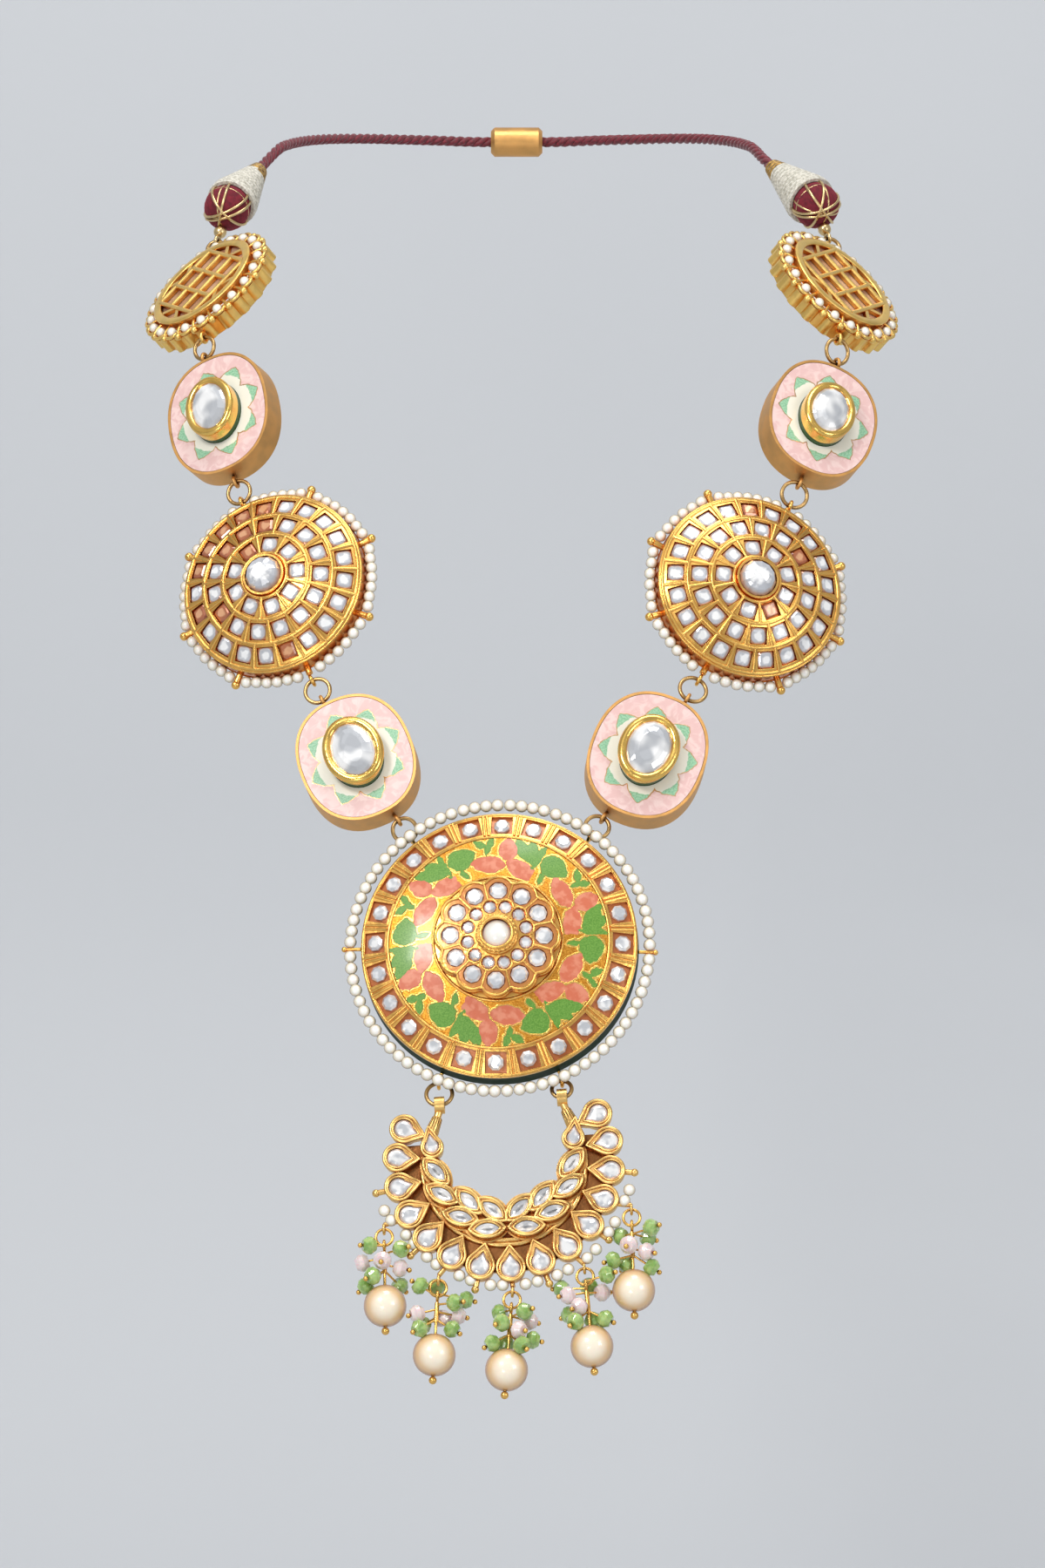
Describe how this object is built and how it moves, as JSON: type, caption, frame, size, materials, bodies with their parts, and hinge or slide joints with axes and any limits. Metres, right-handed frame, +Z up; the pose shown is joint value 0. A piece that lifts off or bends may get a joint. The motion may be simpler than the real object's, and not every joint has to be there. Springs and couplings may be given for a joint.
{
  "type": "necklace",
  "caption": "Enamelled gold-plated necklace in worn form: domed medallion, tiles and discs on jump rings, crescent pendant with pearl drops, tie cord at the nape.",
  "frame": {"origin": "point at the nape where the tie cord's slide rests against the back of the neck", "axes": "+Z up as worn, -Y forwards out of the chest, +X to the viewer's right"},
  "size_m": [0.1921, 0.2401, 0.3237],
  "materials": {
    "gold": "polished yellow gold plate",
    "gold_satin": "satin gold plate",
    "gold_pendant": "cast gold plate, polished on the ridges",
    "wire": "slightly dull gold-plated wire",
    "cut_stone": "foil-backed cut stone, clear",
    "cut_stone_amber": "foil-backed cut stone, brown foil",
    "pearl": "white pearl",
    "pearl_cream": "cream pearl",
    "enamel_pink": "pearly enamel",
    "enamel_white": "glossy enamel",
    "enamel_mint": "glossy enamel",
    "enamel_green": "translucent enamel",
    "enamel_coral": "translucent enamel",
    "enamel_dark": "dark green enamel",
    "setting_resin": "red-brown resin in the settings",
    "bead_green": "faceted translucent bead",
    "bead_pink": "faceted milky bead",
    "velvet": "velvet pile",
    "thread": "wound cotton thread",
    "zari": "metallic thread",
    "cord": "twisted cord",
    "glass_disc": "clear disc over a brown foil"
  },
  "bodies": {
    "chain": {"dori_cord": "cord", "cord_slide": "gold_satin", "cone_left": "thread", "cone_right": "thread", "ball_left": "velvet", "ball_right": "velvet", "jali_frame_left": "gold", "jali_frame_right": "gold", "jali_glass_left": "glass_disc", "jali_glass_right": "glass_disc", "jali_pearls_left": "pearl", "jali_pearls_right": "pearl", "oval_upper_left": "gold_satin", "oval_upper_right": "gold_satin", "oval_lower_left": "gold_satin", "oval_lower_right": "gold_satin", "oval_enamel_upper_left": "enamel_pink", "oval_enamel_upper_right": "enamel_pink", "oval_enamel_lower_left": "enamel_pink", "oval_enamel_lower_right": "enamel_pink", "oval_stone_upper_left": "cut_stone", "oval_stone_upper_right": "cut_stone", "oval_stone_lower_left": "cut_stone", "oval_stone_lower_right": "cut_stone", "sun_plate_left": "gold", "sun_plate_right": "gold", "sun_stones_left": "cut_stone", "sun_stones_right": "cut_stone", "sun_pearls_left": "pearl", "sun_pearls_right": "pearl", "medallion_plate": "gold", "medallion_enamel": "enamel_coral", "medallion_stones": "cut_stone", "medallion_rosette": "gold", "rosette_stones": "cut_stone", "rosette_pearl": "pearl", "medallion_pearls": "pearl", "jump_rings_left": "wire", "jump_rings_right": "wire", "crescent_ring_left": "wire", "crescent_ring_right": "wire"},
    "crescent": {"crescent_frame": "gold_pendant", "crescent_stones": "cut_stone", "crescent_pearls": "pearl", "drop_pearl_1": "pearl_cream", "drop_pearl_2": "pearl_cream", "drop_pearl_3": "pearl_cream", "drop_pearl_4": "pearl_cream", "drop_pearl_5": "pearl_cream", "drop_beads_1": "bead_green", "drop_beads_2": "bead_green", "drop_beads_3": "bead_green", "drop_beads_4": "bead_green", "drop_beads_5": "bead_green", "drop_wires_1": "wire", "drop_wires_2": "wire", "drop_wires_3": "wire", "drop_wires_4": "wire", "drop_wires_5": "wire"}
  },
  "joints": [
    {"name": "crescent_swing", "type": "hinge", "parent": "chain", "child": "crescent", "pos_m": [-0.00359, -0.20425, -0.25093], "axis": [-0.9972, 0.0371, -0.0655], "range_deg": [0, 60]}
  ]
}
